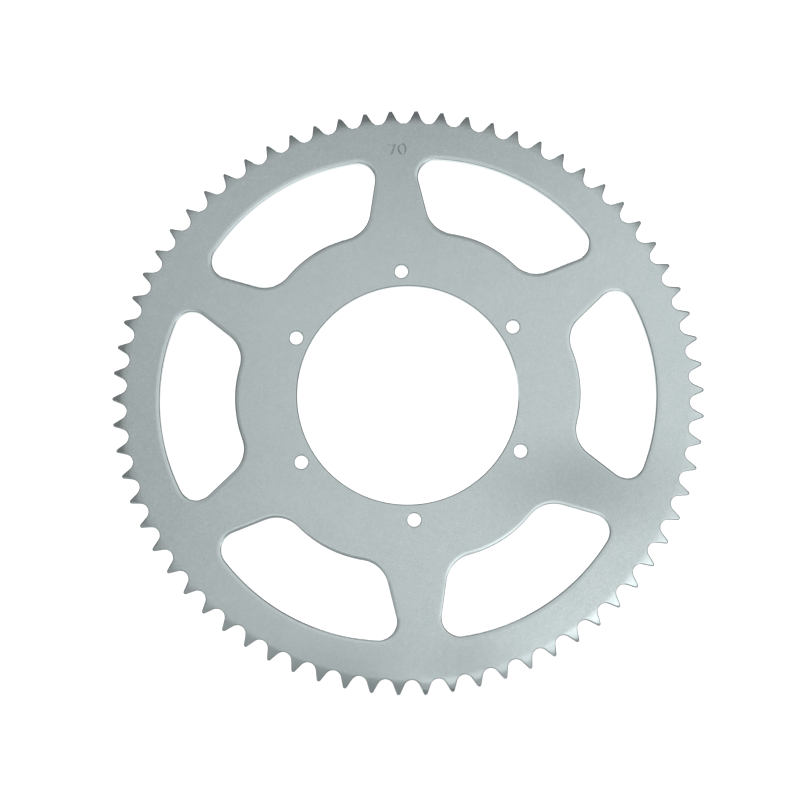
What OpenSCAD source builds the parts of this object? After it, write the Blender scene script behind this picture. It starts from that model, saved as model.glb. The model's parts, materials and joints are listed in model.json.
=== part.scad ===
// Rear chain sprocket of a small motorcycle: one toothed steel plate that bolts to the wheel hub.
// The plate stands upright and turns about Y. The origin is the centre of the bore, halfway through the
// plate. The front face, which takes the bolt heads, looks towards -Y, and one spoke points straight up.

/* [Chain and teeth] */
// Number of teeth
teeth = 70; // [62:1:78]
// Pitch of the chain, from pin to pin
chain_pitch = 12.7; // [12:0.05:13.5]
// Diameter of the chain's rollers
roller_d = 7.77; // [7:0.01:8.5]
// Play between a roller and the round seat that it rests in, on the radius
seat_play = 0.1; // [0:0.01:0.15]
// Half of the angle over which the seat wraps the roller, in degrees
seat_half_angle = 64.7; // [61:0.1:72]
// Height of the tooth tips above the pitch circle
tip_h = 3.1; // [2.4:0.05:3.6]
// Turn of the nearest tooth away from the top spoke, in degrees
tooth_offset = 0.52; // [-2.5:0.01:2.5]

/* [Side relief of the teeth] */
// Where the relief begins, measured inwards from the tooth roots
relief_start = 0.4; // [0.1:0.05:3]
// How far each side of a tooth falls back at its tip
relief_depth = 1.3; // [0.6:0.05:1.4]
// Radius of the curve that the relief follows
relief_r = 24; // [22:1:120]

/* [Plate and rim] */
// Thickness of the plate
plate_t = 4; // [3.2:0.1:6]
// Narrowest width of the rim, from a window to the tooth roots
rim_w = 16.35; // [12:0.05:22]

/* [Spokes and windows] */
// Number of spokes, which is also the number of windows and of bolts
spokes = 6; // [5:1:7]
// Narrowest width of a spoke, just below the rim
spoke_w = 21.5; // [14:0.1:28]
// Width of a spoke where it runs into the hub
spoke_foot_w = 27.8; // [22:0.1:34]
// Radius of the windows' outer corners
window_corner_r = 8.7; // [5:0.1:10]
// Radius of the curve between a spoke and the hub
spoke_foot_r = 14.6; // [10:0.1:17]
// Radius of the windows' long outer edge
window_arc_r = 100; // [90:1:120]

/* [Hub] */
// Bore that the wheel hub's spigot fits
bore_d = 108; // [96:0.1:112]
// Diameter of the circle on which the bolts lie
bolt_circle_d = 123; // [120:0.1:132]
// Diameter of a bolt hole
bolt_hole_d = 6.5; // [5:0.1:8.5]
// Distance from the centre to the top of the hub's lobes, which lie between the spokes
lobe_reach = 84.5; // [80:0.1:88]
// Radius of a lobe
lobe_r = 57; // [48:0.5:66]

/* [Hidden] */
$fn = 96;
plate_colour = [0.68, 0.73, 0.74];

// Outlines that meet at a tangent bite this far into each other
seam = 0.003;

// The tooth form: a round seat for each roller, with straight flanks that leave it at a tangent
pitch_r = chain_pitch / (2 * sin(180 / teeth));
seat_r = roller_d / 2 + seat_play;
root_r = pitch_r - seat_r;
tip_r = pitch_r + tip_h;
flank_l = (tip_h + seat_r) / sin(seat_half_angle);

// Each tooth ends in a round tip that touches both of its flanks
flank_tilt = 90 - seat_half_angle - 180 / teeth;
tip_round_r = (pitch_r * cos(seat_half_angle) - seat_r - tip_r * sin(flank_tilt)) / (1 - sin(flank_tilt));
tip_round_at = tip_r - tip_round_r;
tip_touch_r = norm([tip_round_r * cos(flank_tilt), tip_round_at + tip_round_r * sin(flank_tilt)]);

// The side relief: a curve of radius relief_r from the plate's face to the tooth tip
relief_r0 = root_r - relief_start;
relief_w = tip_r - relief_r0;
relief_chord = norm([relief_w, relief_depth]);
relief_slope = atan(relief_depth / relief_w);
relief_sag = sqrt(relief_r ^ 2 - (relief_chord / 2) ^ 2);
relief_centre = [relief_r0 + relief_w / 2 - relief_sag * sin(relief_slope),
                 plate_t / 2 - relief_depth / 2 - relief_sag * cos(relief_slope)];

// A window lies across +Y, with the spokes' axes at half_turn on either side of it
half_turn = 180 / spokes;
arc_centre = [0, root_r - rim_w - window_arc_r];
corner_run = window_arc_r - window_corner_r;
corner_off = spoke_w / 2 + window_corner_r - arc_centre.y * sin(half_turn);
corner_turn = half_turn - asin(corner_off / corner_run);
corner_centre = arc_centre + corner_run * [sin(corner_turn), cos(corner_turn)];
lobe_centre = [0, lobe_reach - lobe_r];
foot_run = lobe_r + spoke_foot_r;
foot_off = spoke_foot_w / 2 + spoke_foot_r - lobe_centre.y * sin(half_turn);
foot_turn = half_turn - asin(foot_off / foot_run);
foot_centre = lobe_centre + foot_run * [sin(foot_turn), cos(foot_turn)];

// The straight side of a window touches both of its corner curves
side_span = corner_centre - foot_centre;
side_dir = atan2(side_span.x, side_span.y);
side_tilt = side_dir + 90 - asin((spoke_foot_r - window_corner_r) / norm(side_span));
side_out = [sin(side_tilt), cos(side_tilt)];

function mirrored(p) = [-p.x, p.y];

// The space between two teeth, for a roller on the pitch circle at +Y
module tooth_gap() {
    touch = seat_r * [sin(seat_half_angle), -cos(seat_half_angle)];
    flare = touch + flank_l * [cos(seat_half_angle), sin(seat_half_angle)];
    translate([0, pitch_r]) {
        circle(seat_r + seam);
        polygon([touch, flare, mirrored(flare), mirrored(touch)]);
    }
}

// One window: a long outer arc, two corners, two straight sides, and two feet around a lobe of the hub
module window() {
    rim_dir = [sin(corner_turn), cos(corner_turn)];
    past_rim = arc_centre + 2 * window_arc_r * rim_dir;
    side_top = corner_centre + window_corner_r * side_out;
    side_end = foot_centre + spoke_foot_r * side_out;
    on_lobe = lobe_centre + lobe_r * [sin(foot_turn), cos(foot_turn)];
    difference() {
        union() {
            intersection() {
                translate(arc_centre) circle(window_arc_r);
                polygon([corner_centre, past_rim, mirrored(past_rim), mirrored(corner_centre)]);
            }
            polygon([corner_centre, side_top, side_end, foot_centre, on_lobe, mirrored(on_lobe),
                     mirrored(foot_centre), mirrored(side_end), mirrored(side_top),
                     mirrored(corner_centre)]);
            for (place = [corner_centre, mirrored(corner_centre)])
                translate(place) circle(window_corner_r + seam);
            for (place = [foot_centre, mirrored(foot_centre)])
                translate(place) circle(spoke_foot_r + seam);
        }
        translate(lobe_centre) circle(lobe_r);
    }
}

// The flat outline of the plate, seen from the front
module blank() {
    difference() {
        union() {
            circle(tip_touch_r);
            for (i = [0 : teeth - 1])
                rotate(tooth_offset + i * 360 / teeth) translate([0, tip_round_at]) circle(tip_round_r + seam);
        }
        for (i = [0 : teeth - 1])
            rotate(tooth_offset + (i + 0.5) * 360 / teeth) tooth_gap();
        for (i = [0 : spokes - 1])
            rotate((i + 0.5) * 360 / spokes) window();
        circle(d = bore_d);
        for (i = [0 : spokes - 1])
            rotate(i * 360 / spokes) translate([0, bolt_circle_d / 2]) circle(d = bolt_hole_d);
    }
}

// Half of the turned cross section: the plate's two faces, with the relief at the teeth
module turned_section() {
    past_tip = tip_r + tip_h;
    difference() {
        translate([0, -plate_t / 2]) square([past_tip, plate_t]);
        for (side = [0, 1])
            mirror([0, side]) difference() {
                translate([relief_r0, 0]) square([past_tip, plate_t]);
                translate(relief_centre) circle(relief_r);
            }
    }
}

module sprocket_plate() {
    color(plate_colour)
        rotate([90, 0, 0])
            intersection() {
                linear_extrude(plate_t, center = true) blank();
                rotate_extrude() turned_section();
            }
}

sprocket_plate();
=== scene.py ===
import json
import math

import bmesh
import bpy
from bpy.props import FloatProperty, FloatVectorProperty, IntProperty, PointerProperty, StringProperty
from mathutils import Matrix, Vector

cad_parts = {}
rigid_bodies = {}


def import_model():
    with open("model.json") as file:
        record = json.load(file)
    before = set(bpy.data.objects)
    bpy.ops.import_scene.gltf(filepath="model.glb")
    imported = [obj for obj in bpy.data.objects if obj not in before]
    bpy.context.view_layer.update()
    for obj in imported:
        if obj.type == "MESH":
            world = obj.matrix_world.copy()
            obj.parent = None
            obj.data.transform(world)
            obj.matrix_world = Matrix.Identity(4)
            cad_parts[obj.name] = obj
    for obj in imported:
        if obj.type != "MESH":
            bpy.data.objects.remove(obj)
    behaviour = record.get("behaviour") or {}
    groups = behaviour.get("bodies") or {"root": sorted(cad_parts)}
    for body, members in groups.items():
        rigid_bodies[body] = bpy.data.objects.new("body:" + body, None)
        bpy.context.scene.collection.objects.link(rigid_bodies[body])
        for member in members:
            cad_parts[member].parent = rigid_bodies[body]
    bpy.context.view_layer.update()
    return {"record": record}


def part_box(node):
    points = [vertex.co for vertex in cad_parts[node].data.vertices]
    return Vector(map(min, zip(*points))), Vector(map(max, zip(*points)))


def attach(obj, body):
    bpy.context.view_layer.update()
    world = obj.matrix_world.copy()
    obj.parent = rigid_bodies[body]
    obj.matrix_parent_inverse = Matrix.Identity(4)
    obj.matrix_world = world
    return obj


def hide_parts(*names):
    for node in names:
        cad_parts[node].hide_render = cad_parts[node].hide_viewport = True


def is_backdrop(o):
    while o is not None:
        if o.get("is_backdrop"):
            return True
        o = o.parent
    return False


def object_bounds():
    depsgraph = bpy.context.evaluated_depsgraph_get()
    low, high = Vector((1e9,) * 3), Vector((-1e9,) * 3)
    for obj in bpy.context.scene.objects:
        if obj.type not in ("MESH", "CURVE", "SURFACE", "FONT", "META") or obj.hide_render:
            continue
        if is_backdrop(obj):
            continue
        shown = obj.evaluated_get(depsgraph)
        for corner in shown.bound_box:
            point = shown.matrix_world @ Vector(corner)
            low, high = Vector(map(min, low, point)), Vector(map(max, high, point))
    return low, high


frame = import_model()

bl_info = {
    "name": "Rear sprocket",
    "version": (1, 0, 0),
    "blender": (4, 5, 0),
    "location": "3D View > Sidebar > Sprocket",
    "description": "Models a zinc plated rear chain sprocket and the stage that it stands on",
    "category": "Add Mesh",
}

MM = 0.001
PLATE_NODE = "sprocket_plate"
MOUNTS = {mount["name"]: mount for mount in frame["record"]["mounts"]}
PLATE_LOW, PLATE_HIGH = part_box(PLATE_NODE)

# Points nearer to each other than this are one point
TOUCH = 0.001 * MM

# Painted shade on the front: darker patches, put where the zinc should mirror something dark. Each gives x
# and z of the middle, half the width and height, and the share of the light that the painted shade takes
# away. It stays within the depth below of the front face.
PAINTED_SHADE_PATCHES = ((84 * MM, -49 * MM, 68 * MM, 37 * MM, 0.23), (23 * MM, -138 * MM, 38 * MM, 34 * MM, 0.17))
PAINTED_SHADE_DEPTH = 3 * MM

# The plate's material slots
FACE, WALL, STAMP, EDGE = range(4)

# Soft boxes around the plate, as the plate sees them: left, right, bottom and top edge in degrees, and the
# radiance
SOFT_BOXES = (
    ("far_left_box", -126, -98, 0, 15, 0.8),
    ("left_box", -30, -10, -3, 20, 0.34),
    ("front_box", -10, 10, -3, 20, 0.64),
    ("right_box", 10, 30, -3, 20, 0.76),
    ("key_box", 30, 55, -3, 20, 0.83),
    ("high_box", -30, 30, 20, 35, 0.31),
    ("high_right_box", 12, 50, 20, 45, 0.21),
    ("high_left_box", -50, -12, 20, 45, 0.15),
)

# Bright cards on the floor in front: x and y of the middle, size, turn in degrees, and the radiance. Two lie
# askew on the right, so that the teeth down there shine and their worn edges stay dark. A dim one lights the
# lowest teeth.
FLOOR_CARDS = (
    ("foot_card", 0.034, -0.018, (0.074, 0.032), 0, 0.22),
    ("near_card", 0.0548, -0.0875, (0.15, 0.11), -25, 0.75),
    ("side_card", 0.2128, -0.3033, (0.36, 0.38), -25, 1.08),
    ("front_card", 0.25, -1.175, (1.3, 1.45), 0, 0.57),
)


# Sizes that a user would change. The bore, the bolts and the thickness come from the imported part.

class SprocketPlateSizes(bpy.types.PropertyGroup):
    teeth: IntProperty(
        name="Teeth", description="Number of teeth around the rim", default=70)
    chain_pitch: FloatProperty(
        name="Chain pitch", description="Length of one chain link, from pin to pin",
        default=12.7 * MM, unit="LENGTH", precision=5)
    seat_r: FloatProperty(
        name="Roller seat", description="Radius of the round seat of a chain roller",
        default=3.985 * MM, unit="LENGTH", precision=5)
    seat_half_angle: FloatProperty(
        name="Seat half angle", description="Half of the angle over which a seat wraps its roller",
        default=math.radians(64.7), subtype="ANGLE")
    tip_h: FloatProperty(
        name="Tip height", description="Height of the tooth tips above the pitch circle",
        default=3.1 * MM, unit="LENGTH", precision=5)
    tooth_offset: FloatProperty(
        name="Tooth offset", description="Turn of the nearest tooth away from the top spoke",
        default=math.radians(0.52), subtype="ANGLE")
    relief_start: FloatProperty(
        name="Relief start", description="From the tooth roots inwards to where the side relief begins",
        default=0.4 * MM, unit="LENGTH", precision=5)
    relief_depth: FloatProperty(
        name="Relief depth", description="How far each side of a tooth falls back at its tip",
        default=1.3 * MM, unit="LENGTH", precision=5)
    relief_r: FloatProperty(
        name="Relief radius", description="Radius of the curve that the side relief follows",
        default=24 * MM, unit="LENGTH", precision=5)
    tooth_break: FloatProperty(
        name="Tooth edge", description="Width of the worn round on the edges of the teeth",
        default=0.55 * MM, unit="LENGTH", precision=5)
    thickness: FloatProperty(
        name="Thickness", description="Thickness of the plate",
        default=PLATE_HIGH.y - PLATE_LOW.y, unit="LENGTH", precision=5)
    rim_w: FloatProperty(
        name="Rim width", description="Narrowest width of the rim, from a window to the tooth roots",
        default=16.35 * MM, unit="LENGTH", precision=5)
    spokes: IntProperty(
        name="Spokes", description="Number of spokes, of windows and of bolt holes",
        default=MOUNTS["hub_bolts"]["dims"]["count"])
    spoke_w: FloatProperty(
        name="Spoke width", description="Narrowest width of a spoke, just below the rim",
        default=21.5 * MM, unit="LENGTH", precision=5)
    spoke_foot_w: FloatProperty(
        name="Spoke foot width", description="Width of a spoke where it runs into the hub",
        default=27.8 * MM, unit="LENGTH", precision=5)
    window_corner_r: FloatProperty(
        name="Window corner", description="Radius of the outer corners of a window",
        default=8.7 * MM, unit="LENGTH", precision=5)
    spoke_foot_r: FloatProperty(
        name="Spoke foot radius", description="Radius of the curve between a spoke and the hub",
        default=14.6 * MM, unit="LENGTH", precision=5)
    window_arc_r: FloatProperty(
        name="Window arc", description="Radius of the long outer edge of a window",
        default=100 * MM, unit="LENGTH", precision=5)
    lobe_reach: FloatProperty(
        name="Lobe reach", description="From the centre to the top of a lobe of the hub",
        default=84.5 * MM, unit="LENGTH", precision=5)
    lobe_r: FloatProperty(
        name="Lobe radius", description="Radius of a lobe of the hub",
        default=57 * MM, unit="LENGTH", precision=5)
    bore_r: FloatProperty(
        name="Bore radius", description="Radius of the centre bore",
        default=MOUNTS["hub_bore"]["dims"]["r_mm"] * MM, unit="LENGTH", precision=5)
    bolt_circle_r: FloatProperty(
        name="Bolt circle", description="Radius of the circle on which the bolt holes lie",
        default=MOUNTS["hub_bolts"]["dims"]["pcd_mm"] / 2 * MM, unit="LENGTH", precision=5)
    bolt_hole_r: FloatProperty(
        name="Bolt hole", description="Radius of a bolt hole",
        default=MOUNTS["hub_bolts"]["dims"]["hole_r_mm"] * MM, unit="LENGTH", precision=5)
    bore_break: FloatProperty(
        name="Bore edge", description="Width of the slope on the deburred edge of the bore",
        default=0.45 * MM, unit="LENGTH", precision=5)
    hole_break: FloatProperty(
        name="Hole edge", description="Width of the slope on the deburred edge of a bolt hole",
        default=0.42 * MM, unit="LENGTH", precision=5)
    roll_w: FloatProperty(
        name="Rolled edge width", description="Width over which the punch drew in the front edge of a window",
        default=2.2 * MM, unit="LENGTH", precision=5)
    roll_lip: FloatProperty(
        name="Rolled edge lip", description="Width of the tight round where the rolled edge meets the wall",
        default=0.65 * MM, unit="LENGTH", precision=5)
    roll_lean: FloatProperty(
        name="Rolled edge lean", description="How far the rolled edge leans where its tight round begins",
        default=math.radians(11), subtype="ANGLE")
    stamp_h: FloatProperty(
        name="Stamp height", description="Height of the stamped tooth count",
        default=5.7 * MM, unit="LENGTH", precision=5)
    stamp_low: FloatProperty(
        name="Stamp foot", description="From the axle up to the foot of the stamped tooth count",
        default=121.35 * MM, unit="LENGTH", precision=5)
    stamp_depth: FloatProperty(
        name="Stamp depth", description="Depth of the stamped tooth count",
        default=0.38 * MM, unit="LENGTH", precision=5)


class SprocketFinish(bpy.types.PropertyGroup):
    zinc_light: StringProperty(
        name="Zinc, light", description="sRGB colour of the clear zinc coat where it is thin and bright",
        default="#D3DDDE")
    zinc_dull: StringProperty(
        name="Zinc, dull", description="sRGB colour of the clear zinc coat where it has dulled",
        default="#C6D2D3")
    roughness: FloatProperty(
        name="Roughness", description="Mean roughness of the plated face",
        default=0.25, subtype="FACTOR", min=0, max=1)
    edge_roughness: FloatProperty(
        name="Edge roughness", description="Mean roughness of the burnished edges",
        default=0.16, subtype="FACTOR", min=0, max=1)
    grain: FloatProperty(
        name="Grain", description="Distance between the grains of the plated surface",
        default=0.8 * MM, unit="LENGTH", precision=5)
    mottle: FloatProperty(
        name="Mottle", description="Distance between the small spots of the plated surface",
        default=3.2 * MM, unit="LENGTH", precision=5)
    clouds: FloatProperty(
        name="Clouds", description="Distance between the faint clouds of the plated surface",
        default=17.6 * MM, unit="LENGTH", precision=5)
    shear_light: StringProperty(
        name="Sheared wall, light", description="sRGB colour of the ridges of a sheared wall",
        default="#DAE2E3")
    shear_dark: StringProperty(
        name="Sheared wall, dark", description="sRGB colour of the furrows of a sheared wall",
        default="#C0CACB")
    shear_roughness: FloatProperty(
        name="Sheared wall roughness", description="Roughness of a sheared wall",
        default=0.24, subtype="FACTOR", min=0, max=1)
    streak: FloatProperty(
        name="Streaks", description="Distance between the streaks of a sheared wall",
        default=0.35 * MM, unit="LENGTH", precision=5)
    stamp_oxide: StringProperty(
        name="Stamp", description="sRGB colour of the oxide in the stamped digits", default="#C8D1D2")


class SprocketStage(bpy.types.PropertyGroup):
    paper: StringProperty(
        name="Paper", description="sRGB colour of the floor and backdrop", default="#F4F4F4")
    room: StringProperty(
        name="Room", description="sRGB colour of the studio around the stage", default="#6F6F6F")
    floor_w: FloatProperty(
        name="Floor", description="Width of the paper floor", default=40, unit="LENGTH")
    wall_w: FloatProperty(
        name="Wall", description="Width and depth of the paper wall around the back and the sides", default=5,
        unit="LENGTH")
    wall_h: FloatProperty(
        name="Wall height", description="Height of the paper wall", default=2.5, unit="LENGTH")
    wall_ahead: FloatProperty(
        name="Wall ahead", description="How far in front of the plate the wall has its middle", default=0.9,
        unit="LENGTH")
    shadow_lift: FloatProperty(
        name="Shadow lift", description="How white the camera sees the paper in a full shadow by the plate",
        default=0.75, subtype="FACTOR", min=0, max=1)
    box_away: FloatProperty(
        name="Soft boxes", description="From the plate to the soft boxes around it", default=2, unit="LENGTH")
    camera_place: FloatVectorProperty(
        name="Camera", description="Place of the camera", size=3, subtype="TRANSLATION", unit="LENGTH",
        default=(-0.00227, -0.77698, -0.12516), precision=5)
    camera_aim: FloatVectorProperty(
        name="Aim", description="Point in the middle of the picture", size=3, subtype="TRANSLATION",
        unit="LENGTH", default=(-0.00385, -0.002, -0.00279), precision=5)
    camera_roll: FloatProperty(
        name="Camera roll", description="How far the camera is turned clockwise about its line of sight",
        default=math.radians(2.91), subtype="ANGLE")
    lens: FloatProperty(
        name="Lens", description="Focal length on a 36 mm sensor, in millimetres", default=72.43)


# Small helpers for work in edit mode

def at(x, z, turn=0.0, y=0.0):
    """A point of the plate's plane, turned anticlockwise about the axle as seen from the front."""
    c, s = math.cos(turn), math.sin(turn)
    return Vector((x * c - z * s, y, x * s + z * c))


def out_of_axle(place):
    """Distance of a place from the axle."""
    return math.hypot(place.x, place.z)


def pitch_radius(s):
    """Radius of the circle on which the pins of the chain lie."""
    return s.chain_pitch / (2 * math.sin(math.pi / s.teeth))


def relief_radius(s):
    """Radius of the circle where the side relief of the teeth begins."""
    return pitch_radius(s) - s.seat_r - s.relief_start


def begin(name):
    """Opens an empty mesh of that name in edit mode."""
    if bpy.context.mode != "OBJECT":
        bpy.ops.object.mode_set(mode="OBJECT")
    bpy.ops.object.select_all(action="DESELECT")
    bpy.ops.mesh.primitive_plane_add(size=MM)
    piece = bpy.context.object
    piece.name = piece.data.name = name
    bpy.ops.object.mode_set(mode="EDIT")
    bpy.ops.mesh.select_all(action="SELECT")
    bpy.ops.mesh.delete(type="VERT")
    return piece


def end():
    """Leaves edit mode, and gives back the piece."""
    bpy.ops.object.mode_set(mode="OBJECT")
    return bpy.context.object


def point(place):
    """Adds one point and leaves it selected, ready to be drawn out into a line."""
    bpy.ops.mesh.select_mode(type="VERT")
    bpy.ops.mesh.primitive_plane_add(size=MM, location=place)
    bpy.ops.mesh.merge(type="CENTER")


def arc(centre, turn, steps):
    """Draws the selected point out along an arc, anticlockwise from the front where turn is positive."""
    bpy.ops.mesh.spin(steps=steps, angle=turn, center=centre, axis=(0, 1, 0))


def line(move, steps):
    """Draws the selected point out along a straight line."""
    for _ in range(steps):
        bpy.ops.mesh.extrude_region_move(TRANSFORM_OT_translate={"value": move / steps})


def copies(count):
    """Copies all of the mesh around the axle, so that there are count of it."""
    bpy.ops.mesh.select_all(action="SELECT")
    bpy.ops.mesh.spin(steps=count - 1, dupli=True, angle=math.tau * (count - 1) / count,
                      center=(0, 0, 0), axis=(0, 1, 0))
    bpy.ops.mesh.select_all(action="SELECT")
    bpy.ops.mesh.remove_doubles(threshold=TOUCH)


def pick(kind, test):
    """Selects the vertices, edges or faces that pass the test, and nothing else."""
    bpy.ops.mesh.select_all(action="DESELECT")
    bpy.ops.mesh.select_mode(type={"verts": "VERT", "edges": "EDGE", "faces": "FACE"}[kind])
    mesh = bpy.context.object.data
    bm = bmesh.from_edit_mesh(mesh)
    found = [part for part in getattr(bm, kind) if test(part)]
    for part in found:
        part.select_set(True)
    if not found:
        raise RuntimeError(f"{mesh.name}: none of its {kind} lies where this step looks for them")
    bm.select_flush_mode()
    bmesh.update_edit_mesh(mesh)


def close_face(side):
    """Closes the line that was just drawn into one face that looks out of the plate on that side."""
    bpy.ops.mesh.select_linked()
    bpy.ops.mesh.remove_doubles(threshold=TOUCH)
    bpy.ops.mesh.select_mode(type="EDGE")
    bpy.ops.mesh.edge_face_add()
    bpy.ops.mesh.select_mode(type="FACE")
    face_outwards(side)


def face_outwards(side):
    """Turns the selected face over, where it looks into the plate."""
    bm = bmesh.from_edit_mesh(bpy.context.object.data)
    face = next(face for face in bm.faces if face.select)
    if face.normal.y * side < 0:
        bpy.ops.mesh.flip_normals()


def by_steps(places):
    """The (width, depth) steps between places that are given as the width left and the depth reached."""
    return [(w0 - w1, d1 - d0) for (w0, d0), (w1, d1) in zip(places, places[1:])]


def round_over(width, depth, steps):
    """The (width, depth) steps of a quarter of an ellipse that leads from a face down to a wall."""
    return by_steps([(width * (1 - math.sin(a)), depth * (1 - math.cos(a)))
                     for a in (math.pi / 2 * i / steps for i in range(steps + 1))])


def deburred(width):
    """The steps of a deburred edge: a steep slope, with a small break above it and below it."""
    above, slope, below = (0.15, 0.05), (1.0, 1.6), (0.03, 0.15)
    return [(width * across, width * down) for across, down in (above, slope, below)]


def drawn_in(width, lip, lean):
    """The steps of an edge that a punch drew in: a gentle bend, then a tight round that leads to the wall."""
    run = width - lip
    gentle = [(width - run * f, run * f * f * math.tan(lean) / 2) for f in (0, 0.25, 0.5, 0.75, 1)]
    drop = gentle[-1][1]
    radius = lip / (1 - math.sin(lean))
    turns = [lean + (math.pi / 2 - lean) * i / 6 for i in range(1, 7)]
    tight = [(radius * (1 - math.sin(a)), drop + radius * (math.cos(lean) - math.cos(a))) for a in turns]
    return by_steps(gentle + tight)


def step_in(steps):
    """Insets the selected face step by step, each time a little deeper."""
    for width, depth in steps:
        bpy.ops.mesh.inset(thickness=width, depth=-depth)


def opening(name, outline, front, back, guard, half_t):
    """One opening right through the plate. outline(offset, side) draws its face, that much larger. A flat
    strip as wide as guard stays around it, so that the face's own shading reaches up to the edge."""
    begin(name)
    for side, edge in ((-1, front), (1, back)):
        outline(sum(width for width, depth in edge) + guard, side)
        step_in([(guard, 0)] + edge)
        bpy.ops.mesh.delete(type="ONLY_FACE")
    pick("edges", lambda e: e.is_boundary and all(abs(v.co.y) < half_t - TOUCH for v in e.verts))
    bpy.ops.mesh.bridge_edge_loops()


# The pieces of the plate's mesh

def window_outline(s, offset, side):
    """Draws one window of the plate, larger by offset all round, as arcs that follow on each other."""
    turn = math.pi / s.spokes
    y = side * s.thickness / 2
    arc_z = pitch_radius(s) - s.seat_r - s.rim_w - s.window_arc_r
    corner_run = s.window_arc_r - s.window_corner_r
    corner_turn = turn - math.asin((s.spoke_w / 2 + s.window_corner_r - arc_z * math.sin(turn)) / corner_run)
    corner = Vector((corner_run * math.sin(corner_turn), arc_z + corner_run * math.cos(corner_turn)))
    lobe_z = s.lobe_reach - s.lobe_r
    foot_run = s.lobe_r + s.spoke_foot_r
    foot_turn = turn - math.asin((s.spoke_foot_w / 2 + s.spoke_foot_r - lobe_z * math.sin(turn)) / foot_run)
    foot = Vector((foot_run * math.sin(foot_turn), lobe_z + foot_run * math.cos(foot_turn)))
    span = corner - foot
    tilt = math.atan2(span.x, span.y) + math.pi / 2 - math.asin(
        (s.spoke_foot_r - s.window_corner_r) / span.length)
    side_out = Vector((math.sin(tilt), math.cos(tilt)))
    side_run = -span + (s.spoke_foot_r - s.window_corner_r) * side_out

    def spot(x, z):
        return at(x, z, turn, y)

    def way(x, z):
        return at(x, z, turn)

    rim_r = s.window_arc_r + offset
    point(spot(rim_r * math.sin(corner_turn), arc_z + rim_r * math.cos(corner_turn)))
    arc(spot(0, arc_z), 2 * corner_turn, steps=40)
    arc(spot(-corner.x, corner.y), tilt - corner_turn, steps=20)
    line(way(-side_run.x, side_run.y), steps=6)
    arc(spot(-foot.x, foot.y), math.pi + foot_turn - tilt, steps=12)
    arc(spot(0, lobe_z), -2 * foot_turn, steps=24)
    arc(spot(foot.x, foot.y), math.pi + foot_turn - tilt, steps=12)
    line(way(-side_run.x, -side_run.y), steps=6)
    arc(spot(corner.x, corner.y), tilt - corner_turn, steps=20)
    close_face(side)


def round_outline(radius, z, half_t, offset, side, sides):
    """Draws a round opening of the plate at that height above the axle, larger by offset all round."""
    bpy.ops.mesh.primitive_circle_add(
        vertices=sides, radius=radius + offset, fill_type="NGON",
        location=(0, side * half_t, z), rotation=(-side * math.pi / 2, 0, 0))
    bpy.ops.mesh.select_mode(type="FACE")
    face_outwards(side)


def windows(s):
    """The windows: drawn in at the front, and sharp at the back, where the punch came out."""
    opening("windows", lambda offset, side: window_outline(s, offset, side),
            front=drawn_in(s.roll_w, s.roll_lip, s.roll_lean),
            back=[(0.14 * MM, 0.05 * MM), (0.1 * MM, 0.14 * MM)],
            guard=0.35 * MM, half_t=s.thickness / 2)
    copies(s.spokes)
    return end()


def bolt_holes(s):
    """The ring of bolt holes, deburred on both sides."""
    half_t = s.thickness / 2
    edge = deburred(s.hole_break)
    opening("bolt_holes",
            lambda offset, side: round_outline(s.bolt_hole_r, s.bolt_circle_r, half_t, offset, side,
                                               sides=56),
            front=edge, back=edge, guard=0.3 * MM, half_t=half_t)
    copies(s.spokes)
    return end()


def bore(s):
    """The centre bore, deburred on both sides."""
    half_t = s.thickness / 2
    edge = deburred(s.bore_break)
    opening("bore", lambda offset, side: round_outline(s.bore_r, 0, half_t, offset, side, sides=216),
            front=edge, back=edge, guard=0.35 * MM, half_t=half_t)
    return end()


def tooth_outline(s, y):
    """Draws one tooth from the bottom of the gap on its right to the bottom of the gap on its left."""
    half_pitch = math.pi / s.teeth
    pitch_r = pitch_radius(s)
    root_r = pitch_r - s.seat_r
    tip_r = pitch_r + s.tip_h

    # The gap on the right, as x and z about the tooth's own axis
    seat = pitch_r * Vector((math.sin(half_pitch), math.cos(half_pitch)))
    flank_tilt = math.pi / 2 - s.seat_half_angle - half_pitch
    flank_out = Vector((math.cos(flank_tilt), math.sin(flank_tilt)))
    touch = seat - s.seat_r * flank_out

    # The round tip touches both flanks
    tip_round_r = (touch.dot(flank_out) - tip_r * flank_out.y) / (1 - flank_out.y)
    tip_round_at = tip_r - tip_round_r
    flank = Vector((0, tip_round_at)) + tip_round_r * flank_out - touch

    def spot(x, z):
        return at(x, z, s.tooth_offset, y)

    def way(x, z):
        return at(x, z, s.tooth_offset)

    point(spot(root_r * math.sin(half_pitch), root_r * math.cos(half_pitch)))
    arc(spot(*seat), -s.seat_half_angle, steps=7)
    line(way(*flank), steps=3)
    arc(spot(0, tip_round_at), math.pi - 2 * flank_tilt, steps=10)
    line(way(flank.x, -flank.y), steps=3)
    arc(spot(-seat.x, seat.y), -s.seat_half_angle, steps=7)


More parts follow.
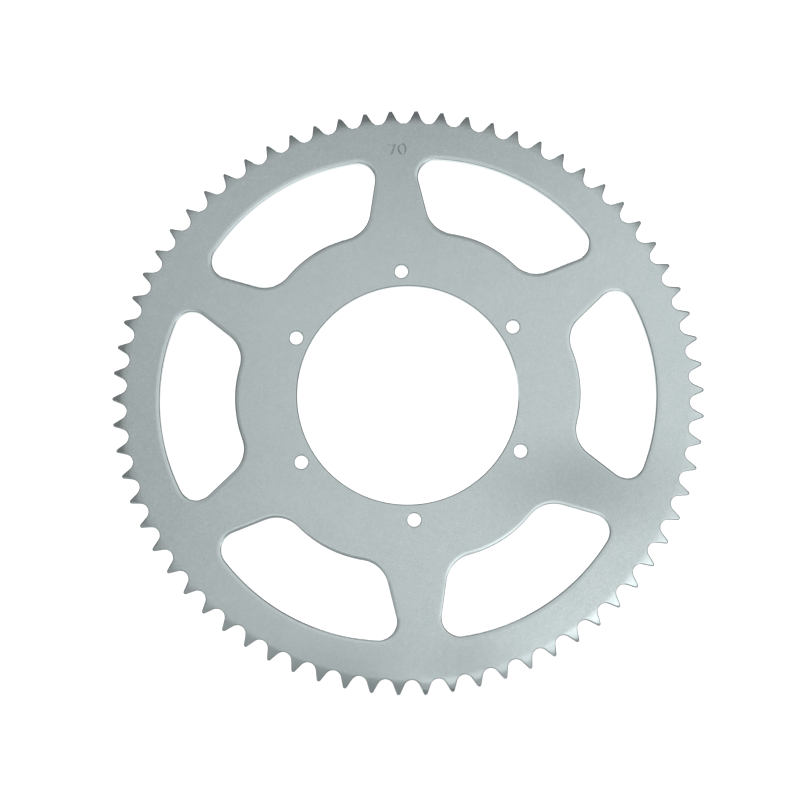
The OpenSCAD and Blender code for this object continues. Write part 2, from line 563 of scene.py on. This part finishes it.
def relief_surface(s):
    """The front of the teeth as the lathe turns it: flat, and then a curve that falls back past the tip."""
    flat_strip = 3 * MM
    past_tip = 1.2
    half_t = s.thickness / 2
    relief_r0 = relief_radius(s)
    tip_r = pitch_radius(s) + s.tip_h
    width = tip_r - relief_r0
    chord = math.hypot(width, s.relief_depth)
    slope = math.atan2(s.relief_depth, width)
    sag = math.sqrt(s.relief_r ** 2 - chord ** 2 / 4)
    centre = Vector((0, -(half_t - s.relief_depth / 2 - sag * math.cos(slope)),
                     relief_r0 + width / 2 - sag * math.sin(slope)))
    sweep = 2 * math.asin(chord / 2 / s.relief_r)
    piece = begin("relief_surface")
    point((0, -half_t, relief_r0 - flat_strip))
    line(Vector((0, 0, flat_strip)), steps=1)
    bpy.ops.mesh.spin(steps=24, angle=past_tip * sweep, center=centre, axis=(1, 0, 0))
    bm = bmesh.from_edit_mesh(piece.data)
    if max(v.co.z for v in bm.verts) < tip_r:
        raise RuntimeError("the relief curve runs the wrong way")
    bpy.ops.mesh.select_all(action="SELECT")
    bpy.ops.mesh.spin(steps=720, angle=math.tau, center=(0, 0, 0), axis=(0, 1, 0))
    return end()


def tooth_ring(s):
    """The ring of teeth: reliefs on both sides, worn edges, and the walls that the chain rolls on."""
    half_t = s.thickness / 2
    relief_r0 = relief_radius(s)
    well_outside = relief_r0 + 0.1 * MM
    flat_strip = MM
    lathe = relief_surface(s)

    def on_wall_side(edge):
        return edge.is_boundary and all(out_of_axle(v.co) > well_outside for v in edge.verts)

    ring = begin("tooth_ring")
    tooth_outline(s, -half_t)
    copies(s.teeth)
    close_face(-1)
    worn = round_over(s.tooth_break, s.tooth_break, steps=3)
    for width, depth in reversed(worn):
        bpy.ops.mesh.inset(thickness=width)

    # From the worn edge inwards to the circle where the relief begins
    bpy.ops.mesh.extrude_region_move()
    bpy.ops.transform.tosphere(value=1, center_override=(0, -half_t, 0))
    bm = bmesh.from_edit_mesh(ring.data)
    now_r = out_of_axle(next(v for v in bm.verts if v.select).co)
    bpy.ops.transform.resize(value=(relief_r0 / now_r, 1, relief_r0 / now_r), center_override=(0, 0, 0))
    bpy.ops.mesh.extrude_region_move()
    inwards = (relief_r0 - flat_strip) / relief_r0
    bpy.ops.transform.resize(value=(inwards, 1, inwards), center_override=(0, 0, 0))
    bpy.ops.mesh.delete(type="ONLY_FACE")
    pick("edges", lambda e: any(out_of_axle(v.co) < relief_r0 + TOUCH for v in e.verts)
         and any(out_of_axle(v.co) > relief_r0 + 10 * TOUCH for v in e.verts))
    bpy.ops.mesh.subdivide(number_cuts=6)
    end()
    press = ring.modifiers.new("relief", "SHRINKWRAP")
    press.target = lathe
    press.wrap_method = "PROJECT"
    press.use_project_y = True
    press.use_negative_direction = press.use_positive_direction = True
    bpy.ops.object.modifier_apply(modifier=press.name)
    bpy.data.meshes.remove(lathe.data)

    # The worn edge falls away from the relief to the wall
    bpy.ops.object.mode_set(mode="EDIT")
    for rows, (width, depth) in enumerate(reversed(worn)):
        pick("edges", on_wall_side)
        bpy.ops.mesh.select_mode(type="VERT")
        for _ in range(rows):
            bpy.ops.mesh.select_more()
        bpy.ops.transform.translate(value=(0, depth, 0))
    pick("edges", on_wall_side)
    bpy.ops.mesh.extrude_region_move()
    bpy.ops.transform.resize(value=(1, 0, 1), center_override=(0, 0, 0))
    end()
    back = ring.modifiers.new("back", "MIRROR")
    back.use_axis = (False, True, False)
    back.merge_threshold = TOUCH
    bpy.ops.object.modifier_apply(modifier=back.name)
    return ring


def stamped_count(s):
    """The tooth count, struck into the rim above the top spoke with number punches."""
    y = -s.thickness / 2
    low, tall = s.stamp_low, s.stamp_h
    stroke = 0.16 * tall

    # A groove slopes down to most of its depth, and ends in a narrow flat bottom
    groove = [(0.34 * stroke, 0.75 * s.stamp_depth), (0.12 * stroke, 0.25 * s.stamp_depth)]
    piece = begin("stamped_count")

    # The seven, as one bar with a leg that leans to the left
    seven_left = -3.5 * MM
    wide = 0.68 * tall
    leg = 0.28 * wide
    corners = [(0, tall), (0, tall - stroke), (wide - 1.15 * stroke, tall - stroke), (leg, 0),
               (leg + 1.1 * stroke, 0), (wide, tall - 0.9 * stroke), (wide, tall)]
    spots = [Vector((seven_left + x, y, low + z)) for x, z in corners]
    point(spots[0])
    for here, there in zip(spots, spots[1:] + spots[:1]):
        line(there - here, steps=1)
    close_face(-1)
    step_in(groove)

    # The nought, as an oval band
    middle = Vector((3.5 * MM, y, low + tall / 2))
    slim = 0.74
    bpy.ops.mesh.primitive_circle_add(
        vertices=40, radius=0.53 * tall, fill_type="NGON", location=middle, rotation=(math.pi / 2, 0, 0))
    bpy.ops.transform.resize(value=(slim, 1, 1), center_override=middle)
    bpy.ops.mesh.select_mode(type="FACE")
    face_outwards(-1)
    bpy.ops.mesh.inset(thickness=stroke)
    bm = bmesh.from_edit_mesh(piece.data)
    island = next(f for f in bm.faces if f.select).calc_center_median()
    pick("faces", lambda f: len(f.verts) == 4 and all(abs(v.co.y - y) < TOUCH for v in f.verts)
         and all((v.co - island).length < tall for v in f.verts) and f.calc_center_median().x > 0)
    step_in(groove)
    return end()


def node(tree, kind, inputs=None, links=None, **settings):
    """Adds a node with its settings, its inputs' values and its links, each given as a node's output."""
    new = tree.nodes.new(kind)
    for name, value in settings.items():
        setattr(new, name, value)
    for name, value in (inputs or {}).items():
        new.inputs[name].default_value = value
    for name, output in (links or {}).items():
        tree.links.new(output, new.inputs[name])
    return new


def linear(code):
    """An sRGB hex colour as the linear colour that a socket takes."""
    parts = [int(code[i:i + 2], 16) / 255 for i in (1, 3, 5)]
    return [c / 12.92 if c <= 0.04045 else ((c + 0.055) / 1.055) ** 2.4 for c in parts] + [1]


def blank_material(name):
    """A new material that has no nodes yet, and its node tree."""
    material = bpy.data.materials.new(name)
    material.use_nodes = True
    material.node_tree.nodes.clear()
    return material, material.node_tree


def clear_zinc(name, finish, roughness, spread):
    """Clear zinc from a plating barrel: a slightly blue metal with a fine grain, small spots and faint
    clouds. The grain is drawn coarser than that of real zinc, which is too fine to show."""
    material, tree = blank_material(name)
    place = node(tree, "ShaderNodeTexCoord").outputs["Object"]
    grain = node(tree, "ShaderNodeTexNoise", {"Scale": 1 / finish.grain, "Detail": 3, "Roughness": 0.6},
                 {"Vector": place})
    clouds = node(tree, "ShaderNodeTexNoise", {"Scale": 1 / finish.clouds, "Detail": 4, "Roughness": 0.55},
                  {"Vector": place})
    mottle = node(tree, "ShaderNodeTexNoise", {"Scale": 1 / finish.mottle, "Detail": 2, "Roughness": 0.5},
                  {"Vector": place})

    # Beside the grain, the clouds and the spots count for less in the colour, and the spots in the bumps
    tone_share, bump_share = 0.4, 0.6
    shade = node(tree, "ShaderNodeMath", links={0: clouds.outputs["Fac"], 1: mottle.outputs["Fac"]},
                 operation="ADD")
    shade = node(tree, "ShaderNodeMath", {1: tone_share}, {0: shade.outputs[0], 2: grain.outputs["Fac"]},
                 operation="MULTIPLY_ADD")
    shade = node(tree, "ShaderNodeMapRange", {"From Min": 0.6, "From Max": 1.2}, {"Value": shade.outputs[0]})
    tone = node(tree, "ShaderNodeMix", {"A": linear(finish.zinc_dull), "B": linear(finish.zinc_light)},
                {"Factor": shade.outputs["Result"]}, data_type="RGBA")
    # Painted shade: each patch darkens the colour of the front face in place of a dark reflection
    for x, z, wide, tall, painted_dark in PAINTED_SHADE_PATCHES:
        near = node(tree, "ShaderNodeMapping",
                    {"Location": (x, PLATE_LOW.y, z), "Scale": (wide, PAINTED_SHADE_DEPTH, tall)},
                    {"Vector": place}, vector_type="TEXTURE")
        off = node(tree, "ShaderNodeVectorMath", links={0: near.outputs["Vector"]}, operation="LENGTH")
        kept = node(tree, "ShaderNodeMapRange", {"To Min": 1 - painted_dark},
                    {"Value": off.outputs["Value"]}, interpolation_type="SMOOTHSTEP")
        tone = node(tree, "ShaderNodeMix", {"Factor": 1.0},
                    {"A": tone.outputs["Result"], "B": kept.outputs["Result"]},
                    data_type="RGBA", blend_type="MULTIPLY")
    rough = node(tree, "ShaderNodeMapRange", {"To Min": roughness - spread, "To Max": roughness + spread},
                 {"Value": grain.outputs["Fac"]})
    relief = node(tree, "ShaderNodeMath", {1: bump_share},
                  {0: mottle.outputs["Fac"], 2: grain.outputs["Fac"]}, operation="MULTIPLY_ADD")
    bump = node(tree, "ShaderNodeBump", {"Strength": 0.15, "Distance": 0.08 * MM},
                {"Height": relief.outputs[0]})
    shader = node(tree, "ShaderNodeBsdfPrincipled", {"Metallic": 1.0},
                  {"Base Color": tone.outputs["Result"], "Roughness": rough.outputs["Result"],
                   "Normal": bump.outputs["Normal"]})
    node(tree, "ShaderNodeOutputMaterial", links={"Surface": shader.outputs["BSDF"]})
    return material


def clear_zinc_on_blanked_steel(finish):
    """Steel plate, blanked and then barrel plated with clear zinc. The zinc is a satin, slightly blue metal:
    highlights are broad, the face shows a fine grain and faint clouds, and nothing on it is a mirror."""
    return clear_zinc("clear_zinc_on_blanked_steel", finish, finish.roughness, spread=0.06)


def clear_zinc_burnished_on_edges(finish):
    """The same zinc on edges that the punch drew in and the barrel rubbed smooth. Their highlights are narrow
    and crisp, bright lines beside dark ones."""
    return clear_zinc("clear_zinc_burnished_on_edges", finish, finish.edge_roughness, spread=0.03)


def sheared_steel_under_zinc(finish):
    """The walls that the punch sheared, under the same thin coat of zinc. They shine much like the face, and
    fine streaks along the punch's travel break up what they mirror."""
    material, tree = blank_material("sheared_steel_under_zinc")
    through_plate = (1.0, 0.12, 1.0)
    place = node(tree, "ShaderNodeTexCoord").outputs["Object"]
    along = node(tree, "ShaderNodeMapping", {"Scale": through_plate}, {"Vector": place})
    streaks = node(tree, "ShaderNodeTexNoise", {"Scale": 1 / finish.streak, "Detail": 3, "Roughness": 0.6},
                   {"Vector": along.outputs["Vector"]})
    tone = node(tree, "ShaderNodeMix", {"A": linear(finish.shear_dark), "B": linear(finish.shear_light)},
                {"Factor": streaks.outputs["Fac"]}, data_type="RGBA")
    bump = node(tree, "ShaderNodeBump", {"Strength": 0.25, "Distance": 0.05 * MM},
                {"Height": streaks.outputs["Fac"]})
    shader = node(tree, "ShaderNodeBsdfPrincipled", {"Metallic": 1.0, "Roughness": finish.shear_roughness},
                  {"Base Color": tone.outputs["Result"], "Normal": bump.outputs["Normal"]})
    node(tree, "ShaderNodeOutputMaterial", links={"Surface": shader.outputs["BSDF"]})
    return material


def oxide_in_stamped_grooves(finish):
    """The bottom of the struck digits, where the zinc is thin and has oxidised. It is duller and rougher than
    the face, so that the number reads at a distance."""
    material, tree = blank_material("oxide_in_stamped_grooves")
    shader = node(tree, "ShaderNodeBsdfPrincipled",
                  {"Base Color": linear(finish.stamp_oxide), "Metallic": 1.0, "Roughness": 0.5})
    node(tree, "ShaderNodeOutputMaterial", links={"Surface": shader.outputs["BSDF"]})
    return material


class SPROCKET_OT_plate(bpy.types.Operator):
    """Models the toothed plate with its windows, bore, bolt holes and stamped tooth count"""
    bl_idname = "sprocket.plate"
    bl_label = "Sprocket plate"

    def execute(self, context):
        s = context.scene.sprocket_plate
        half_t = s.thickness / 2
        parts = [tooth_ring(s), windows(s), bolt_holes(s), bore(s), stamped_count(s)]
        bpy.ops.object.select_all(action="DESELECT")
        for part in parts:
            part.select_set(True)
        plate = context.view_layer.objects.active = parts[0]
        bpy.ops.object.join()
        plate.name = plate.data.name = "toothed_plate"

        # The flat faces lie between all the edges that are still open
        bpy.ops.object.mode_set(mode="EDIT")
        for y in (-half_t, half_t):
            pick("edges", lambda e: e.is_boundary and all(abs(v.co.y - y) < TOUCH for v in e.verts))
            bpy.ops.mesh.fill(use_beauty=True)
        bpy.ops.mesh.select_all(action="SELECT")
        bpy.ops.mesh.remove_doubles(threshold=TOUCH)
        bpy.ops.mesh.normals_make_consistent(inside=False)
        bm = bmesh.from_edit_mesh(plate.data)
        open_edges = sum(not e.is_manifold for e in bm.edges)
        if open_edges:
            raise RuntimeError(f"the plate has {open_edges} edges that don't join two faces")

        finish = context.scene.sprocket_finish
        plate.data.materials.clear()
        for make in (clear_zinc_on_blanked_steel, sheared_steel_under_zinc, oxide_in_stamped_grooves,
                     clear_zinc_burnished_on_edges):
            plate.data.materials.append(make(finish))

        def paint(slot, test):
            pick("faces", test)
            plate.active_material_index = slot
            bpy.ops.object.material_slot_assign()

        def in_stamp(face):
            margin = 0.2
            middle = face.calc_center_median()
            across, up = abs(middle.x) / s.stamp_h, (middle.z - s.stamp_low) / s.stamp_h
            return across < 1 + margin and -margin < up < 1 + margin and TOUCH < middle.y + half_t < half_t

        # A face's kind shows in how much of its normal lies along the axle. The relief of the teeth is
        # turned, not drawn in, and leans back by less than a worn edge.
        wall_below, edge_below, tooth_edge_below = 0.2, 0.998, 0.94
        relief_r0 = relief_radius(s)

        def on_edge(face):
            on_tooth = out_of_axle(face.calc_center_median()) > relief_r0
            return (face.material_index == FACE
                    and abs(face.normal.y) < (tooth_edge_below if on_tooth else edge_below))

        paint(WALL, lambda f: abs(f.normal.y) < wall_below)
        paint(STAMP, in_stamp)
        paint(EDGE, on_edge)
        end()
        bpy.ops.object.shade_smooth_by_angle(angle=math.radians(38), keep_sharp_edges=True)
        flat = plate.modifiers.new("flat", "WEIGHTED_NORMAL")
        flat.keep_sharp = True
        bpy.ops.object.modifier_apply(modifier=flat.name)
        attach(plate, "root")
        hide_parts(PLATE_NODE)
        return {"FINISHED"}


def studio_paper(stage):
    """White paper, matt. To the camera it is white, but for the plate's shadow. The metal sees the white
    behind the plate, and elsewhere the paper as the lamps light it."""
    material, tree = blank_material("studio_paper")
    plate_foot = (0.0, 0.0, PLATE_LOW.z)
    white_way = (-0.2, 0.95, -0.2)
    ray = node(tree, "ShaderNodeLightPath").outputs
    place = node(tree, "ShaderNodeTexCoord").outputs["Object"]
    away = node(tree, "ShaderNodeVectorMath", {1: plate_foot}, {0: place}, operation="DISTANCE")
    seen = node(tree, "ShaderNodeMapRange", {"From Min": 0.3, "From Max": 1.2, "To Min": stage.shadow_lift},
                {"Value": away.outputs["Value"]}, interpolation_type="SMOOTHSTEP")
    way = node(tree, "ShaderNodeVectorMath", links={0: place}, operation="NORMALIZE")
    behind = node(tree, "ShaderNodeVectorMath", {1: white_way}, {0: way.outputs["Vector"]},
                  operation="DOT_PRODUCT")
    mirrored = node(tree, "ShaderNodeMapRange", {"From Min": 0.7, "From Max": 0.92},
                    {"Value": behind.outputs["Value"]}, interpolation_type="SMOOTHSTEP")
    beyond = node(tree, "ShaderNodeMath", links={0: ray["Is Glossy Ray"], 1: ray["Is Transmission Ray"]},
                  operation="ADD")
    glow = node(tree, "ShaderNodeMath", links={0: beyond.outputs[0], 1: mirrored.outputs["Result"]},
                operation="MULTIPLY")
    glow = node(tree, "ShaderNodeMath",
                links={0: ray["Is Camera Ray"], 1: seen.outputs["Result"], 2: glow.outputs[0]},
                operation="MULTIPLY_ADD")
    white = node(tree, "ShaderNodeEmission", {"Color": linear(stage.paper)}, {"Strength": glow.outputs[0]})
    paper = node(tree, "ShaderNodeBsdfDiffuse", {"Color": linear(stage.paper)})
    both = node(tree, "ShaderNodeAddShader", links={0: paper.outputs[0], 1: white.outputs[0]})
    node(tree, "ShaderNodeOutputMaterial", links={"Surface": both.outputs[0]})
    return material


class SPROCKET_OT_stage(bpy.types.Operator):
    """Sets up the paper sweep, the studio lights and the camera"""
    bl_idname = "sprocket.stage"
    bl_label = "Stage"

    def execute(self, context):
        stage = context.scene.sprocket_stage
        scene = context.scene
        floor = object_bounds()[0][2]

        # A wide paper floor, and a paper wall around the back and both sides of the plate
        paper = begin("paper_stage")
        bpy.ops.mesh.primitive_plane_add(size=stage.floor_w, location=(0, 0, floor))
        bpy.ops.mesh.primitive_plane_add(size=stage.wall_w, location=(0, -stage.wall_ahead, floor))
        pick("edges", lambda e: all(abs(v.co.x) < stage.wall_w for v in e.verts)
             and max(v.co.y for v in e.verts) > -stage.wall_ahead)
        bpy.ops.mesh.extrude_region_move(TRANSFORM_OT_translate={"value": (0, 0, stage.wall_h)})
        pick("faces", lambda f: abs(f.normal.z) > 0.5
             and max(abs(v.co.x) for v in f.verts) < stage.wall_w)
        bpy.ops.mesh.delete(type="FACE")
        end()
        paper.data.materials.append(studio_paper(stage))
        paper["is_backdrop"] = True

        def soft_box(name, place, aim, size, strength, turn=0.0):
            """An area lamp whose face has that radiance, turned about the vertical."""
            wide, tall = size
            lamp = bpy.data.lights.new(name, "AREA")
            lamp.shape = "RECTANGLE"
            lamp.size, lamp.size_y = wide, tall
            lamp.energy = strength * math.pi * wide * tall
            box = bpy.data.objects.new(name, lamp)
            box.location = place
            track = (Vector(aim) - Vector(place)).to_track_quat("-Z", "Y").to_matrix()
            box.rotation_euler = (Matrix.Rotation(turn, 3, "Z") @ track).to_euler()
            box.visible_camera = False
            scene.collection.objects.link(box)

        # The boxes look at a point just below the axle
        centre = Vector((0, 0, -0.02))
        for name, left, right, bottom, top, strength in SOFT_BOXES:
            turn, rise = math.radians((left + right) / 2), math.radians((bottom + top) / 2)
            level = math.cos(rise)
            aside = Vector((math.sin(turn) * level, -math.cos(turn) * level, math.sin(rise)))
            wide = 2 * stage.box_away * math.tan(math.radians(right - left) / 2) * level
            tall = 2 * stage.box_away * math.tan(math.radians(top - bottom) / 2)
            soft_box(name, centre + stage.box_away * aside, centre, (wide, tall), strength)
        soft_box("top_box", place=(0, 0, 1.8), aim=(0, 0, 0), size=(1.2, 0.8), strength=2.7)

        card_z = floor + 2 * MM
        for name, x, y, size, turn, strength in FLOOR_CARDS:
            soft_box(name, (x, y, card_z), (x, y, 1), size, strength, math.radians(turn))

        world = bpy.data.worlds.new("studio_room")
        world.use_nodes = True
        room = world.node_tree.nodes["Background"]
        room.inputs["Color"].default_value = linear(stage.room)
        room.inputs["Strength"].default_value = 1
        scene.world = world

        camera = bpy.data.objects.new("camera", bpy.data.cameras.new("camera"))
        camera.data.lens = stage.lens
        camera.data.sensor_width = 36
        camera.data.clip_start, camera.data.clip_end = 0.01, 50
        sight = (Vector(stage.camera_aim) - Vector(stage.camera_place)).to_track_quat("-Z", "Y").to_matrix()
        turned = sight @ Matrix.Rotation(-stage.camera_roll, 3, "Z")
        camera.matrix_world = Matrix.LocRotScale(Vector(stage.camera_place), turned, None)
        scene.collection.objects.link(camera)
        scene.camera = camera
        scene.view_settings.view_transform = "Standard"
        return {"FINISHED"}


class SPROCKET_PT_panel(bpy.types.Panel):
    """Lists the sprocket's operators and sizes"""
    bl_idname = "SPROCKET_PT_panel"
    bl_label = "Rear sprocket"
    bl_space_type = "VIEW_3D"
    bl_region_type = "UI"
    bl_category = "Sprocket"

    def draw(self, context):
        for operator, groups in (("sprocket.plate", ("sprocket_plate", "sprocket_finish")),
                                 ("sprocket.stage", ("sprocket_stage",))):
            box = self.layout.box()
            box.operator(operator)
            for group in groups:
                values = getattr(context.scene, group)
                for name in values.__annotations__:
                    box.prop(values, name)


CLASSES = (SprocketPlateSizes, SprocketFinish, SprocketStage, SPROCKET_OT_plate, SPROCKET_OT_stage,
           SPROCKET_PT_panel)


def register():
    for cls in CLASSES:
        bpy.utils.register_class(cls)
    bpy.types.Scene.sprocket_plate = PointerProperty(type=SprocketPlateSizes)
    bpy.types.Scene.sprocket_finish = PointerProperty(type=SprocketFinish)
    bpy.types.Scene.sprocket_stage = PointerProperty(type=SprocketStage)


def unregister():
    del bpy.types.Scene.sprocket_plate, bpy.types.Scene.sprocket_finish, bpy.types.Scene.sprocket_stage
    for cls in reversed(CLASSES):
        bpy.utils.unregister_class(cls)


def main():
    register()
    bpy.ops.sprocket.plate()
    bpy.ops.sprocket.stage()


if __name__ == "__main__":
    main()
